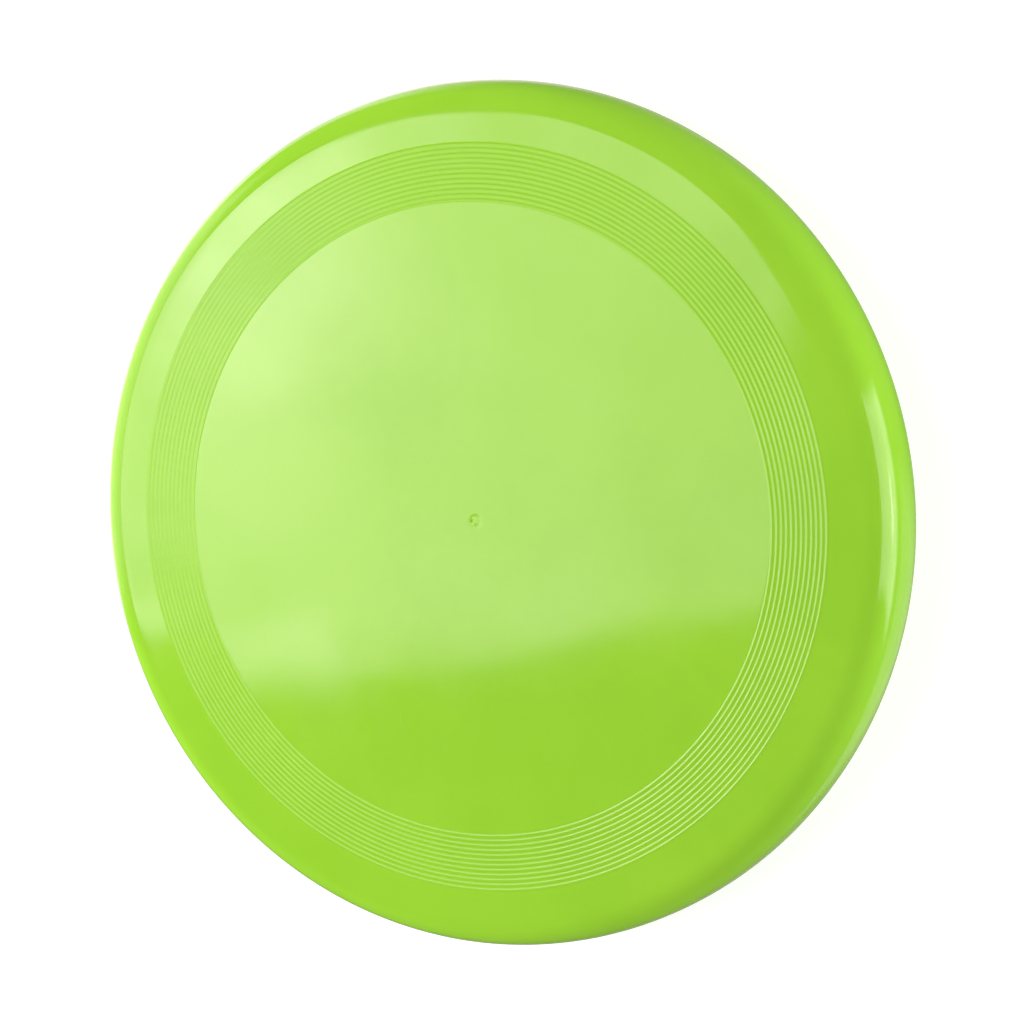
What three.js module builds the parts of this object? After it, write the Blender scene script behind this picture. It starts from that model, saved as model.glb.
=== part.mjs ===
// A flying disc for games of catch on a lawn, in millimetres, with +Z up.
// It rests on the foot of its rim at z = 0, and its axis is the Z axis.
//
// The real disc is a single injection moulding, so it is one closed body of revolution: a thin plate,
// slightly crowned, with a band of raised rings near its edge, a full shoulder and a deep rim.
// It is open underneath, where the fingers of the throwing hand go.

import * as THREE from 'three';

// Driving dimensions.
const DIAMETER = 270;
const HEIGHT = 30.4; // from the foot to the middle of the plate
const PLATE_THICKNESS = 1.7;
const PLATE_FLAT_RADIUS = 30; // the plate is quite flat inside this radius
const PLATE_CROWN = 0.4; // how far the plate falls from its flat middle to the first ring
const BAND_SLOPE = 0.08; // how far it falls for each millimetre outwards from there
const RING_COUNT = 12;
const RING_PITCH = 1.55;
const RING_HEIGHT = 0.09; // the rings can be felt with a fingertip, and hardly show from the side
const RING_WIDTH = 1.0;
const FIRST_RING_RADIUS = 98.4;
const SHOULDER_WIDTH = 9; // from the end of the plate's slope out to the widest point
const SHOULDER_FULLNESS = 0.69; // nearer to 1 is squarer
const WIDEST_HEIGHT = 11;
const FOOT_INSET = 2.8; // from the widest radius in to the outer edge of the foot
const FOOT_WIDTH = 1.2; // the flat ring that touches the ground
const LIP_ROUNDING = 1.6;
const WALL_DRAFT = 0.015; // taper of the inner wall, which lets the moulding leave its core
const WALL_TOP = 19; // where the inner wall turns into the hollow's corner
const CORNER_WIDTH = 8; // from the inner wall in to the underside of the plate

// Steps round the axis and along the curved stretches of the outline.
const SEGMENTS = 72;
const CORNER_STEPS = 5;
const LIP_STEPS = 3;
const WALL_STEPS = 5;
const SHOULDER_STEPS = 8;
const CROWN_STEPS = 3;

// Handles of this share of the way to the corner make a quarter of an ellipse.
const QUARTER = 0.5523;

const outerRadius = DIAMETER / 2;
const bandStart = FIRST_RING_RADIUS - RING_PITCH / 2;
const bandEnd = bandStart + RING_COUNT * RING_PITCH;
const shoulderStart = outerRadius - SHOULDER_WIDTH;
const footOuter = outerRadius - FOOT_INSET;
const footInner = footOuter - FOOT_WIDTH;
const lipInner = footInner - LIP_ROUNDING;
const wallTopRadius = lipInner - WALL_DRAFT * (WALL_TOP - LIP_ROUNDING);
const cornerStart = wallTopRadius - CORNER_WIDTH;

/** A point of the outline, at a radius from the axis and a height above the ground. */
function at(radius, height) {
  return new THREE.Vector2(radius, height);
}

/** A point on the top of the plate, leaving the rings out. */
function onPlate(radius) {
  const outwards = (radius - PLATE_FLAT_RADIUS) / (bandStart - PLATE_FLAT_RADIUS);
  const crowned = THREE.MathUtils.clamp(outwards, 0, 1) ** 2 * PLATE_CROWN;
  const sloped = Math.max(0, radius - bandStart) * BAND_SLOPE;
  return at(radius, HEIGHT - crowned - sloped);
}

/** A point on the underside of the plate. */
function underPlate(radius) {
  return at(radius, onPlate(radius).y - PLATE_THICKNESS);
}

/** The points of the crowned plate, from its flat middle out to the first ring. */
function crown(pointAt) {
  const points = [];
  for (let step = 0; step <= CROWN_STEPS; step += 1) {
    points.push(pointAt(THREE.MathUtils.lerp(PLATE_FLAT_RADIUS, bandStart, step / CROWN_STEPS)));
  }
  return points;
}

/** A curve from one point to another that rounds off a corner, without its first point. */
function rounded(from, corner, to, steps, fullness = QUARTER) {
  const leaving = from.clone().lerp(corner, fullness);
  const arriving = to.clone().lerp(corner, fullness);
  return new THREE.CubicBezierCurve(from, leaving, arriving, to).getPoints(steps).slice(1);
}

/** The underside, from the middle of the plate out to the inner wall and down to the foot. */
function undersideOutline() {
  const plateEdge = underPlate(cornerStart);
  const wallTop = at(wallTopRadius, WALL_TOP);
  const wallFoot = at(lipInner, LIP_ROUNDING);
  return [
    underPlate(0),
    ...crown(underPlate),
    plateEdge,
    ...rounded(plateEdge, underPlate(wallTopRadius), wallTop, CORNER_STEPS),
    wallFoot,
    ...rounded(wallFoot, at(lipInner, 0), at(footInner, 0), LIP_STEPS),
  ];
}

/** The outside of the rim, from the foot up to the widest point and over the shoulder. */
function rimOutline() {
  const foot = at(footOuter, 0);
  const widest = at(outerRadius, WIDEST_HEIGHT);
  const shoulder = onPlate(shoulderStart);
  return [
    foot,
    ...rounded(foot, at(outerRadius, 0), widest, WALL_STEPS),
    ...rounded(widest, onPlate(outerRadius), shoulder, SHOULDER_STEPS, SHOULDER_FULLNESS),
  ];
}

/** The band of raised rings, from its outer edge in to the first ring: a low ridge for each. */
function ringOutline() {
  const points = [onPlate(bandEnd)];
  for (let ring = RING_COUNT - 1; ring >= 0; ring -= 1) {
    const ringRadius = FIRST_RING_RADIUS + ring * RING_PITCH;
    const crest = onPlate(ringRadius);
    crest.y += RING_HEIGHT;
    points.push(onPlate(ringRadius + RING_WIDTH / 2), crest, onPlate(ringRadius - RING_WIDTH / 2));
  }
  return points;
}

/** The whole section, which starts and ends on the axis. */
function discOutline() {
  const plateTop = crown(onPlate).reverse();
  return [...undersideOutline(), ...rimOutline(), ...ringOutline(), ...plateTop, onPlate(0)];
}

/** Lime-green polyethylene, glossy from a polished mould. */
function limePlastic() {
  return new THREE.MeshStandardMaterial({ color: 0x96cf33, roughness: 0.2, metalness: 0 });
}

function makeDisc() {
  const geometry = new THREE.LatheGeometry(discOutline(), SEGMENTS);
  geometry.rotateX(Math.PI / 2);
  const disc = new THREE.Mesh(geometry, limePlastic());
  disc.name = 'disc';
  return disc;
}

const group = new THREE.Group();
group.name = 'flying_disc';
group.add(makeDisc());

export default group;
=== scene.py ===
"""A lime-green flying disc on a pale floor, in soft studio light.

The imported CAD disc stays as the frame. A finer disc of the same shape and size stands for it here:
its rings are round, the mould's parting seam and gate scar are there, and its plastic is finished.
Lengths are in metres, in the CAD frame: the disc's axis is Z, and its foot rests on z = 0.
"""

import math

import bpy
from mathutils import Matrix, Vector


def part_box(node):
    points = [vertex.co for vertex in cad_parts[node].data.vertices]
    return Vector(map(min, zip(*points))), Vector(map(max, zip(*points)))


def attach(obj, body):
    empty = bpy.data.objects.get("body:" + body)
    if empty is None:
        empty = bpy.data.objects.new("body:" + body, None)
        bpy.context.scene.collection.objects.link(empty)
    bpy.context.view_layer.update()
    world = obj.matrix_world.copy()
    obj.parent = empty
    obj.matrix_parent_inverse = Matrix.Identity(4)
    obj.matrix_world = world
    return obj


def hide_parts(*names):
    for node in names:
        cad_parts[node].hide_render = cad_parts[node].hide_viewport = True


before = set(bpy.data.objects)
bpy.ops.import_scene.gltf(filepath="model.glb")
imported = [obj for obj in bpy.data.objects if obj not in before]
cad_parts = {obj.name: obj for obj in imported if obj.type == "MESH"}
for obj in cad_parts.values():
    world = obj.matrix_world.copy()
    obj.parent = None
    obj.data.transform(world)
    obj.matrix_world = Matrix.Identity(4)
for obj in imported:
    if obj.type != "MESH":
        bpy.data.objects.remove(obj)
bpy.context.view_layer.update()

MM = 0.001
WHITE = (1, 1, 1, 1)

# The disc's driving dimensions. Its radius and height come from the CAD frame.
disc_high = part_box("disc")[1]
RADIUS = disc_high.x
HEIGHT = disc_high.z
PLATE_THICKNESS = 1.7 * MM
PLATE_FLAT_RADIUS = 30 * MM  # the plate is quite flat inside this radius
PLATE_CROWN = 0.4 * MM  # how far it falls from there to the first ring
BAND_SLOPE = 0.08  # how steeply it falls from the first ring outwards
RING_COUNT = 12
RING_PITCH = 1.55 * MM
RING_HEIGHT = 0.09 * MM
RING_WIDTH = 1.0 * MM
FIRST_RING_RADIUS = 98.4 * MM
SHOULDER_WIDTH = 9 * MM
SHOULDER_FULLNESS = 0.69  # nearer to 1 is squarer
WIDEST_HEIGHT = 11 * MM
FOOT_INSET = 2.8 * MM
FOOT_WIDTH = 1.2 * MM
LIP_ROUNDING = 1.6 * MM
WALL_DRAFT = 0.015  # taper of the inner wall, which lets the moulding leave its core
WALL_TOP = 19 * MM  # where the inner wall turns into the hollow's corner
CORNER_WIDTH = 8 * MM

# Handles of this share of the way to the corner make a quarter of an ellipse.
QUARTER = 0.5523

# The scar that the injection gate leaves near the middle of the plate: a shallow dish with a low dome
# in it, and a small pit. Each has its middle, its radius and how far it stands up, in millimetres.
SCAR_RADIUS = 3.6 * MM  # inside this radius the mesh is fine enough for it
SCAR_FEATURES = (
    ((-0.6, -0.4), 2.8, -0.08),
    ((-0.6, -0.4), 1.9, 0.08),
    ((-0.1, 0.6), 0.7, -0.18),
)

# The fine seam where the two halves of the mould meet, low on the outside of the rim.
PARTING_STEP = 6  # it stands on this point of the lower rim's curve
PARTING_HEIGHT = 0.08 * MM
PARTING_WIDTH = 0.35 * MM

# Places along the outline that follow from the driving dimensions.
BAND_START = FIRST_RING_RADIUS - RING_PITCH / 2
BAND_END = BAND_START + RING_COUNT * RING_PITCH
SHOULDER_START = RADIUS - SHOULDER_WIDTH
FOOT_OUTER = RADIUS - FOOT_INSET
FOOT_INNER = FOOT_OUTER - FOOT_WIDTH
LIP_INNER = FOOT_INNER - LIP_ROUNDING
WALL_TOP_RADIUS = LIP_INNER - WALL_DRAFT * (WALL_TOP - LIP_ROUNDING)
CORNER_START = WALL_TOP_RADIUS - CORNER_WIDTH

# Fineness of the visual mesh: steps round the axis, and along each stretch of the outline.
SEGMENTS = 384
UNDERSIDE_STEPS = 12
SLOPE_STEPS = 4
CORNER_STEPS = 12
WALL_STEPS = 4
LIP_STEPS = 6
LOWER_RIM_STEPS = 14
SHOULDER_STEPS = 24
STEPS_PER_RING = 7
PLATE_STEPS = 24
SCAR_STEPS = 18
PLATE_EDGE = 0.3 * MM  # a narrow first step on the plate, which keeps the first ring's foot crisp

# The plastic's colour: two close limes, mixed in clouds and in flow marks that run out from the gate.
DEEP_LIME = (0.262, 0.576, 0.027, 1)
PALE_LIME = (0.284, 0.605, 0.031, 1)
CLOUDS_TO_THE_METRE = 16
FLOW_MARKS = 14
CLOUD_SHARE = 0.85
BLEND_LOW = 0.35  # all deep lime below this, and all pale lime above the next
BLEND_HIGH = 0.65

# Its gloss: the roughness of clean and of handled skin, and the fine scratches, which lie in three ways.
POLISHED = 0.032
HANDLED = 0.055
DULL_PATCHES_TO_THE_METRE = 40
HAIRLINE_LENGTH = 22 * MM
HAIRLINE_WIDTH = 0.35 * MM
HAIRLINE_TURNS = (0.4, 1.9, 2.7)
HAIRLINE_START = 0.70  # the noise above this makes a scratch, in full from the next value up
HAIRLINE_FULL = 0.76
SCRATCH_ROUGHNESS = 0.08

# Its relief: slow waves, and orange peel.
WAVES_TO_THE_METRE = 22
WAVE_HEIGHT = 0.09 * MM
PEEL_TO_THE_METRE = 240
PEEL_HEIGHT = 0.0025 * MM

# Nearly all the values of a noise lie between these.
NOISE_LOW = 0.3
NOISE_HIGH = 0.7

# The floor: how much light it sends back, and how strongly it glows.
FLOOR_HALF_WIDTH = 6.0
FLOOR_ALBEDO = 0.36
FLOOR_GLOW = 0.84

# The camera looks down on the disc from its near side, and is rolled well over.
CAMERA_ELEVATION = math.radians(64.58)
CAMERA_ROLL = math.radians(-102.68)
CAMERA_DISTANCE = 1.374
CAMERA_AIM = Vector((-0.0001, -0.0132, 0.030))
CAMERA_LENS = 157.6  # this and the sensor's width are in millimetres
SENSOR_WIDTH = 36


# ---------------------------------------------------------------- outline of the disc


def plate_height(radius):
    """Height of the plate's top, leaving the rings out."""
    outwards = (radius - PLATE_FLAT_RADIUS) / (BAND_START - PLATE_FLAT_RADIUS)
    crowned = PLATE_CROWN * min(max(outwards, 0), 1) ** 2
    sloped = BAND_SLOPE * max(0, radius - BAND_START)
    return HEIGHT - crowned - sloped


def on_plate(radius):
    """A point of the outline on the plate's top, leaving the rings out."""
    return Vector((radius, plate_height(radius)))


def under_plate(radius):
    """A point of the outline on the plate's underside."""
    return Vector((radius, plate_height(radius) - PLATE_THICKNESS))


def spread(start, end, steps):
    """Evenly spaced values from start to end, both included."""
    return [start + (end - start) * step / steps for step in range(steps + 1)]


def rounded(start, corner, end, steps, fullness=QUARTER):
    """A curve that rounds off a corner, without its first point."""
    leaving = start.lerp(corner, fullness)
    arriving = end.lerp(corner, fullness)
    points = []
    for t in spread(0, 1, steps)[1:]:
        s = 1 - t
        points.append(s**3 * start + 3 * s * s * t * leaving + 3 * s * t * t * arriving + t**3 * end)
    return points


def underside_outline():
    """From the middle of the plate's underside out to the inner wall and down to the foot."""
    plate_edge = under_plate(CORNER_START)
    wall_top = Vector((WALL_TOP_RADIUS, WALL_TOP))
    wall_foot = Vector((LIP_INNER, LIP_ROUNDING))
    points = [under_plate(radius) for radius in spread(0, BAND_START, UNDERSIDE_STEPS)]
    points += [under_plate(radius) for radius in spread(BAND_START, CORNER_START, SLOPE_STEPS)[1:]]
    points += rounded(plate_edge, under_plate(WALL_TOP_RADIUS), wall_top, CORNER_STEPS)
    points += [wall_top.lerp(wall_foot, share) for share in spread(0, 1, WALL_STEPS)[1:]]
    points += rounded(wall_foot, Vector((LIP_INNER, 0)), Vector((FOOT_INNER, 0)), LIP_STEPS)
    return points


def rim_outline():
    """The outside of the rim, from the foot up to the widest point and over the shoulder."""
    foot = Vector((FOOT_OUTER, 0))
    widest = Vector((RADIUS, WIDEST_HEIGHT))
    shoulder = on_plate(SHOULDER_START)
    lower = [foot] + rounded(foot, Vector((RADIUS, 0)), widest, LOWER_RIM_STEPS)
    line = lower[PARTING_STEP]
    along = (lower[PARTING_STEP + 1] - lower[PARTING_STEP - 1]).normalized()
    proud = Vector((along.y, -along.x)) * PARTING_HEIGHT
    seam = [line - along * PARTING_WIDTH / 2, line + proud, line + along * PARTING_WIDTH / 2]
    points = lower[:PARTING_STEP] + seam + lower[PARTING_STEP + 1:]
    points += rounded(widest, on_plate(RADIUS), shoulder, SHOULDER_STEPS, SHOULDER_FULLNESS)
    return points


def ring_outline():
    """From the shoulder in to the band of raised rings, and over them to the first ring's foot."""
    points = [on_plate(radius) for radius in spread(SHOULDER_START, BAND_END, SLOPE_STEPS)[1:]]
    for ring in reversed(range(RING_COUNT)):
        crest_radius = FIRST_RING_RADIUS + ring * RING_PITCH
        for share in spread(0.5, -0.5, STEPS_PER_RING):
            point = on_plate(crest_radius + share * RING_WIDTH)
            point.y += RING_HEIGHT * (1 - (2 * share) ** 2)
            points.append(point)
    return points


def plate_outline():
    """The smooth plate, from the first ring in to the axis, finer where the gate's scar will be."""
    plain = spread(BAND_START - PLATE_EDGE, SCAR_RADIUS, PLATE_STEPS)
    scarred = spread(SCAR_RADIUS, 0, SCAR_STEPS)[1:]
    return [on_plate(radius) for radius in [BAND_START] + plain + scarred]


def disc_outline():
    """The whole section, which starts and ends on the axis."""
    return underside_outline() + rim_outline() + ring_outline() + plate_outline()


def gate_relief(x, y):
    """How far the gate's scar stands above the plate."""
    height = 0
    for (middle_x, middle_y), radius, rise in SCAR_FEATURES:
        share = math.hypot(x / MM - middle_x, y / MM - middle_y) / radius
        height += rise * MM * max(0, 1 - share**2) ** 2
    return height


def revolve(name, outline, segments):
    """A closed mesh made by turning an outline, which starts and ends on the axis, round Z."""
    vertices = [(0, 0, outline[0].y)]
    for radius, height in outline[1:-1]:
        for segment in range(segments):
            angle = 2 * math.pi * segment / segments
            vertices.append((radius * math.cos(angle), radius * math.sin(angle), height))
    vertices.append((0, 0, outline[-1].y))
    rows = len(outline) - 2
    last = len(vertices) - 1
    faces = []
    for segment in range(segments):
        after = (segment + 1) % segments
        faces.append((0, 1 + after, 1 + segment))
        for row in range(rows - 1):
            here = 1 + row * segments
            above = here + segments
            faces.append((here + segment, here + after, above + after, above + segment))
        top = 1 + (rows - 1) * segments
        faces.append((top + segment, top + after, last))
    mesh = bpy.data.meshes.new(name)
    mesh.from_pydata(vertices, [], faces)
    mesh.shade_smooth()
    return mesh


def make_disc():
    """The whole disc, which rides on the frame's body in place of the CAD disc."""
    mesh = revolve("flying_disc", disc_outline(), SEGMENTS)
    plate_middle = HEIGHT - PLATE_THICKNESS / 2
    for vertex in mesh.vertices:
        if vertex.co.z > plate_middle:
            vertex.co.z += gate_relief(vertex.co.x, vertex.co.y)
    disc = bpy.data.objects.new("flying_disc", mesh)
    bpy.context.scene.collection.objects.link(disc)
    disc.data.materials.append(lime_plastic())
    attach(disc, "root")
    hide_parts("disc")


# ---------------------------------------------------------------- node trees


def add_node(tree, kind, inputs=None, **settings):
    """A new node. Each input is given a plain value or another node's output."""
    node = tree.nodes.new(kind)
    for name, value in settings.items():
        setattr(node, name, value)
    for name, value in (inputs or {}).items():
        if isinstance(value, bpy.types.NodeSocket):
            tree.links.new(value, node.inputs[name])
        else:
            node.inputs[name].default_value = value
    return node


def combined(tree, operation, first, second):
    """Two numbers joined by a sum, product or the like."""
    return add_node(tree, "ShaderNodeMath", {0: first, 1: second}, operation=operation).outputs[0]


def remapped(tree, value, low, high, low_result=0, high_result=1):
    """A number taken smoothly from one range to another, and held at its ends."""
    inputs = {
        "Value": value,
        "From Min": low,
        "From Max": high,
        "To Min": low_result,
        "To Max": high_result,
    }
    return add_node(tree, "ShaderNodeMapRange", inputs, interpolation_type="SMOOTHSTEP").outputs["Result"]


def noise(tree, coordinates, scale, detail=2, roughness=0.5):
    """Cloudy numbers about 0.5, with about this many blotches to each unit of the coordinates."""
    inputs = {"Vector": coordinates, "Scale": scale, "Detail": detail, "Roughness": roughness}
    return add_node(tree, "ShaderNodeTexNoise", inputs).outputs["Fac"]


# ---------------------------------------------------------------- materials


def new_material(name):
    """A material with a node tree, and its main shader."""
    material = bpy.data.materials.new(name)
    material.use_nodes = True
    return material, material.node_tree.nodes["Principled BSDF"]


def lime_colour(tree, place):
    """Two close limes, mixed in soft clouds and in faint flow marks that run out from the gate."""
    outwards = add_node(tree, "ShaderNodeVectorMath", {0: place}, operation="NORMALIZE").outputs[0]
    clouds = noise(tree, place, CLOUDS_TO_THE_METRE, detail=3)
    flow = noise(tree, outwards, FLOW_MARKS, detail=4)
    cloud_part = combined(tree, "MULTIPLY", clouds, CLOUD_SHARE)
    flow_part = combined(tree, "MULTIPLY", flow, 1 - CLOUD_SHARE)
    blend = remapped(tree, combined(tree, "ADD", cloud_part, flow_part), BLEND_LOW, BLEND_HIGH)
    limes = {"Factor": blend, "A": DEEP_LIME, "B": PALE_LIME}
    return add_node(tree, "ShaderNodeMix", limes, data_type="RGBA").outputs["Result"]


def hairlines(tree, place, turn):
    """One along a few fine straight scratches, all lying one way, and nought elsewhere."""
    stretch = (1 / HAIRLINE_LENGTH, 1 / HAIRLINE_WIDTH, 1 / HAIRLINE_LENGTH)
    inputs = {"Vector": place, "Rotation": (0, 0, turn), "Scale": stretch}
    turned = add_node(tree, "ShaderNodeMapping", inputs).outputs["Vector"]
    return remapped(tree, noise(tree, turned, 1, detail=1), HAIRLINE_START, HAIRLINE_FULL)


def lime_gloss(tree, place):
    """Roughness of a polished mould's skin, a little duller in patches and along the scratches."""
    patches = noise(tree, place, DULL_PATCHES_TO_THE_METRE, detail=4)
    roughness = remapped(tree, patches, NOISE_LOW, NOISE_HIGH, POLISHED, HANDLED)
    for turn in HAIRLINE_TURNS:
        scratched = combined(tree, "MULTIPLY", hairlines(tree, place, turn), SCRATCH_ROUGHNESS)
        roughness = combined(tree, "ADD", roughness, scratched)
    return roughness


def lime_relief(tree, place):
    """Shading of the plate's slow waves, from uneven cooling, and of a fine orange peel."""
    waves = combined(tree, "MULTIPLY", noise(tree, place, WAVES_TO_THE_METRE, detail=1), WAVE_HEIGHT)
    peel = combined(tree, "MULTIPLY", noise(tree, place, PEEL_TO_THE_METRE, detail=2), PEEL_HEIGHT)
    height = combined(tree, "ADD", waves, peel)
    return add_node(tree, "ShaderNodeBump", {"Height": height, "Distance": 1.0}).outputs["Normal"]


def lime_plastic():
    """Glossy lime polyethylene with faint clouds, waves and handling marks."""
    material, shader = new_material("lime_plastic")
    tree = material.node_tree
    place = add_node(tree, "ShaderNodeTexCoord").outputs["Object"]
    tree.links.new(lime_colour(tree, place), shader.inputs["Base Color"])
    tree.links.new(lime_gloss(tree, place), shader.inputs["Roughness"])
    tree.links.new(lime_relief(tree, place), shader.inputs["Normal"])
    return material


def floor_paint():
    """Matt pale paint that glows until it looks white, as a light table does, and hardly takes a shadow.

    It has only an upper side: from below it isn't there, and the disc's underside can be seen.
    """
    material, shader = new_material("floor_paint")
    shader.inputs["Base Color"].default_value = (FLOOR_ALBEDO, FLOOR_ALBEDO, FLOOR_ALBEDO, 1)
    shader.inputs["Roughness"].default_value = 1.0
    shader.inputs["Specular IOR Level"].default_value = 0.0
    shader.inputs["Emission Color"].default_value = WHITE
    shader.inputs["Emission Strength"].default_value = FLOOR_GLOW
    tree = material.node_tree
    seen_from_below = add_node(tree, "ShaderNodeNewGeometry").outputs["Backfacing"]
    clear = add_node(tree, "ShaderNodeBsdfTransparent").outputs["BSDF"]
    paint = shader.outputs["BSDF"]
    mixed = add_node(tree, "ShaderNodeMixShader", {0: seen_from_below, 1: paint, 2: clear})
    tree.links.new(mixed.outputs["Shader"], tree.nodes["Material Output"].inputs["Surface"])
    return material


# ---------------------------------------------------------------- floor, lights and camera


def make_floor():
    """A large flat sheet at the height of the disc's foot, which the disc's gloss doesn't show."""
    mesh = bpy.data.meshes.new("floor")
    half = FLOOR_HALF_WIDTH
    corners = [(-half, -half, 0), (half, -half, 0), (half, half, 0), (-half, half, 0)]
    mesh.from_pydata(corners, [], [(0, 1, 2, 3)])
    floor = bpy.data.objects.new("floor", mesh)
    bpy.context.scene.collection.objects.link(floor)
    floor.data.materials.append(floor_paint())
    floor.visible_glossy = False


def fill_light(name, place, size, power):
    """A lamp that faces the disc and is hidden from its gloss."""
    light = bpy.data.lights.new(name, "AREA")
    light.shape = "SQUARE"
    light.size = size
    light.energy = power
    lamp = bpy.data.objects.new(name, light)
    lamp.location = place
    lamp.rotation_euler = (-Vector(place)).to_track_quat("-Z", "Y").to_euler()
    lamp.visible_glossy = False
    bpy.context.scene.collection.objects.link(lamp)


# What the gloss shows: each light is a soft-edged box of directions from the disc, given by its name, the
# least and greatest x, y and z of a unit vector that points at it, the softness of its edges and its
# brightness. The softbox overhead is turned a little about the vertical.
OPEN = 2.0  # past the end of a unit vector, so it sets no bound
SOFTBOX_TURN = math.radians(4.6)
OVERHEAD_LIGHTS = (
    ("softbox", (-0.071, 0.228, 0), (0.216, 0.665, OPEN), (0.010, 0.02, 0.1), 2.85),
    ("its farther half", (-0.066, 0.398, 0), (0.216, 0.665, OPEN), (0.026, 0.04, 0.1), 0.75),
    ("its bright middle", (-0.002, 0.465, 0), (0.200, 0.588, OPEN), (0.08, 0.07, 0.1), 4.4),
    ("its sagging corner", (-0.0775, 0.474, 0), (-0.055, 0.665, OPEN), (0.009, 0.014, 0.1), 1.7),
)
SURROUNDING_LIGHTS = (
    ("pale wall", (0.02, 0.66, -0.9), (0.64, OPEN, OPEN), (0.12, 0.10, 0.2), 1.7),
    ("pale floor on the far side", (0.0, 0.35, -OPEN), (OPEN, OPEN, -0.35), (0.3, 0.3, 0.2), 1.3),
    ("pale floor on the near side", (-0.62, -0.55, -OPEN), (-0.12, 0.05, -0.80), (0.2, 0.2, 0.08), 0.45),
    ("pale floor past the near edge", (-0.35, 0.05, -OPEN), (0.45, OPEN, -0.8), (0.3, 0.3, 0.1), 0.22),
    ("side strip", (-0.50, -OPEN, -0.68), (0.11, 0, 0.28), (0.09, 0.1, 0.14), 3.0),
    ("its core", (-0.33, -OPEN, -0.52), (-0.14, 0, -0.44), (0.08, 0.1, 0.05), 4.5),
)
STUDIO_DARK = 0.13  # brightness between the lights
LAMP_TINT = (1.0, 0.83, 0.90, 1)  # colour of all that the gloss shows
MOTTLE_SCALE = 20
MOTTLE_DEPTH = 0.14  # the brightness of the lights wavers by this share
LIGHT_MAP_WIDTH = 1024

# Large soft lamps that light the disc and don't show in its gloss: name, place, width and power in watts.
FILL_LIGHTS = (
    ("key_fill", (0.38, 0.95, 1.12), 1.0, 21.4),
    ("near_fill", (-0.9, -1.3, 0.25), 0.7, 13),
    ("right_fill", (0.9, -1.3, 0.35), 0.7, 10),
    ("left_fill", (-0.5, 1.4, 0.35), 0.7, 8),
)


def smooth_box(tree, direction, low, high, softness):
    """One inside a box of directions and nought outside it, with soft edges."""
    parts = add_node(tree, "ShaderNodeSeparateXYZ", {"Vector": direction}).outputs
    mask = 1.0
    for part, least, most, soft in zip(parts, low, high, softness):
        for edge, inwards in ((least, 1), (most, -1)):
            if abs(edge) < OPEN:
                outer = edge - inwards * soft / 2
                inner = edge + inwards * soft / 2
                mask = combined(tree, "MULTIPLY", mask, remapped(tree, part, outer, inner))
    return mask


def light_studio():
    """A dark studio with a few soft lights in it, white where the camera sees past the floor."""
    world = bpy.data.worlds.new("studio")
    world.use_nodes = True
    tree = world.node_tree
    direction = add_node(tree, "ShaderNodeTexCoord").outputs["Generated"]
    waver = noise(tree, direction, MOTTLE_SCALE, detail=2)
    mottle = remapped(tree, waver, NOISE_LOW, NOISE_HIGH, 1 - MOTTLE_DEPTH, 1 + MOTTLE_DEPTH)
    turning = {"Vector": direction, "Angle": SOFTBOX_TURN}
    turned = add_node(tree, "ShaderNodeVectorRotate", turning, rotation_type="Z_AXIS").outputs["Vector"]
    brightness = STUDIO_DARK
    for facing, lights in ((turned, OVERHEAD_LIGHTS), (direction, SURROUNDING_LIGHTS)):
        for name, low, high, softness, level in lights:
            glow = combined(tree, "MULTIPLY", smooth_box(tree, facing, low, high, softness), level)
            glow.node.label = name
            brightness = combined(tree, "ADD", brightness, glow)
    brightness = combined(tree, "MULTIPLY", brightness, mottle)
    seen = add_node(tree, "ShaderNodeLightPath").outputs["Is Camera Ray"]
    strengths = {"Factor": seen, "A": brightness, "B": 1.0}
    strength = add_node(tree, "ShaderNodeMix", strengths, data_type="FLOAT")
    colours = {"Factor": seen, "A": LAMP_TINT, "B": WHITE}
    colour = add_node(tree, "ShaderNodeMix", colours, data_type="RGBA")
    background = tree.nodes["Background"]
    tree.links.new(strength.outputs["Result"], background.inputs["Strength"])
    tree.links.new(colour.outputs["Result"], background.inputs["Color"])
    world.cycles.sampling_method = "MANUAL"
    world.cycles.sample_map_resolution = LIGHT_MAP_WIDTH
    bpy.context.scene.world = world
    for name, place, size, power in FILL_LIGHTS:
        fill_light(name, place, size, power)


def make_camera():
    """The camera, turned about its line of sight and set back from its aim along it."""
    camera = bpy.data.objects.new("camera", bpy.data.cameras.new("camera"))
    camera.data.lens = CAMERA_LENS
    camera.data.sensor_width = SENSOR_WIDTH
    camera.data.clip_start = 0.05
    camera.data.clip_end = 50
    tilt = Matrix.Rotation(math.pi / 2 - CAMERA_ELEVATION, 4, "X")
    roll = Matrix.Rotation(CAMERA_ROLL, 4, "Z")
    turned = tilt @ roll
    back = turned.to_3x3() @ Vector((0, 0, 1))
    camera.matrix_world = Matrix.Translation(CAMERA_AIM + back * CAMERA_DISTANCE) @ turned
    bpy.context.scene.collection.objects.link(camera)
    bpy.context.scene.camera = camera


make_camera()
make_disc()
make_floor()
light_studio()
bpy.context.scene.view_settings.view_transform = "Standard"
